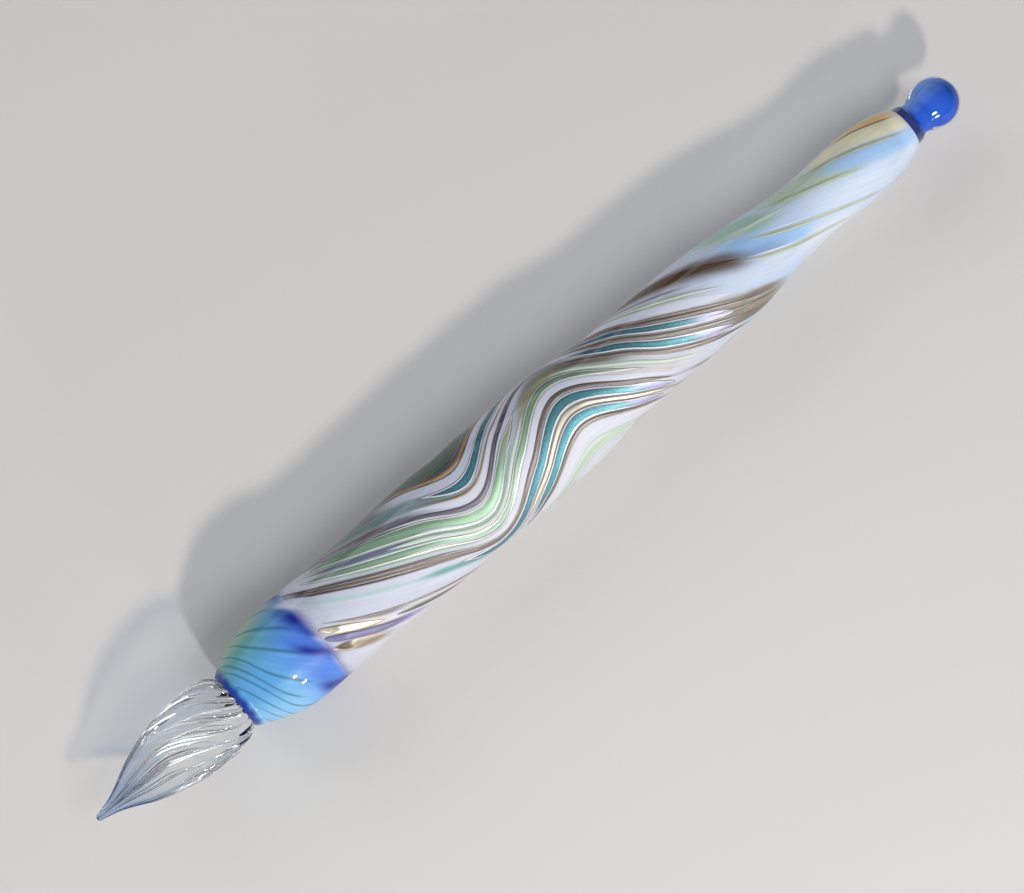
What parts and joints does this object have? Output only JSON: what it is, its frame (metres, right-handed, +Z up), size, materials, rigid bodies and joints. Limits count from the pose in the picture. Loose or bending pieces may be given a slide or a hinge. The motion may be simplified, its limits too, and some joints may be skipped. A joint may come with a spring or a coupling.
{
  "type": "glass dip pen",
  "caption": "Solid glass dip pen: twisted ribbed nib, blue shoulder, barrel of waved coloured canes under clear glass, tapered tail, neck and ball end.",
  "frame": {"origin": "middle of the pen's length, on the surface the pen lies on, under its axis", "axes": "+X from the nib towards the ball end along the pen's axis, +Z up from the surface it lies on"},
  "size_m": [0.152, 0.0152, 0.0151],
  "materials": {
    "clear_glass": "clear fire-polished glass",
    "ink_blue_glass": "dark blue glass, fused",
    "sky_opal_glass": "sky-blue opal glass, fire-polished",
    "cobalt_glass": "deep cobalt glass, fire-polished",
    "white_opal_glass": "white opal glass",
    "pale_sky_opal_glass": "pale sky-blue opal glass",
    "teal_sparkle_glass": "teal glass with metallic sparkle",
    "celadon_glass": "celadon green glass, streaked",
    "dark_green_glass": "dark green glass",
    "pale_green_glass": "pale green opal glass",
    "brown_glass": "brown glass",
    "amber_glass": "amber-brown glass",
    "grey_glass": "grey-violet glass",
    "silver_fumed_glass": "silver-fumed glass",
    "lavender_glass": "lavender glass",
    "dense_white_glass": "dense white glass",
    "olive_glass": "olive green glass",
    "indigo_glass": "indigo glass, fused",
    "clear_blue_glass": "translucent blue glass",
    "ball_blue_glass": "translucent cobalt blue glass, fire-polished"
  },
  "bodies": {
    "root": {"nib": "clear_glass", "nib_root_ring": "ink_blue_glass", "front_shoulder": "sky_opal_glass", "cobalt_band": "cobalt_glass", "opal_core": "white_opal_glass", "tail_core": "pale_sky_opal_glass", "clear_casing": "clear_glass", "teal_cane_1": "teal_sparkle_glass", "teal_cane_2": "teal_sparkle_glass", "teal_cane_3": "teal_sparkle_glass", "teal_cane_4": "teal_sparkle_glass", "teal_cane_5": "teal_sparkle_glass", "celadon_cane_1": "celadon_glass", "celadon_cane_2": "celadon_glass", "celadon_cane_3": "celadon_glass", "dark_green_cane_1": "dark_green_glass", "dark_green_cane_2": "dark_green_glass", "pale_green_cane": "pale_green_glass", "brown_thread_1": "brown_glass", "brown_thread_2": "brown_glass", "brown_thread_3": "brown_glass", "brown_thread_4": "brown_glass", "brown_cane": "brown_glass", "amber_thread": "amber_glass", "grey_thread": "grey_glass", "silver_cane_1": "silver_fumed_glass", "silver_cane_2": "silver_fumed_glass", "lavender_thread_1": "lavender_glass", "lavender_thread_2": "lavender_glass", "lavender_thread_3": "lavender_glass", "tan_cane": "amber_glass", "white_cane_1": "dense_white_glass", "white_cane_2": "dense_white_glass", "white_cane_3": "dense_white_glass", "white_cane_4": "dense_white_glass", "white_cane_5": "dense_white_glass", "white_cane_6": "dense_white_glass", "tail_thread_1": "olive_glass", "tail_thread_2": "olive_glass", "tail_thread_3": "olive_glass", "tail_thread_4": "olive_glass", "tail_thread_5": "amber_glass", "neck_ring": "indigo_glass", "neck": "clear_blue_glass", "ball_finial": "ball_blue_glass"}
  },
  "joints": []
}
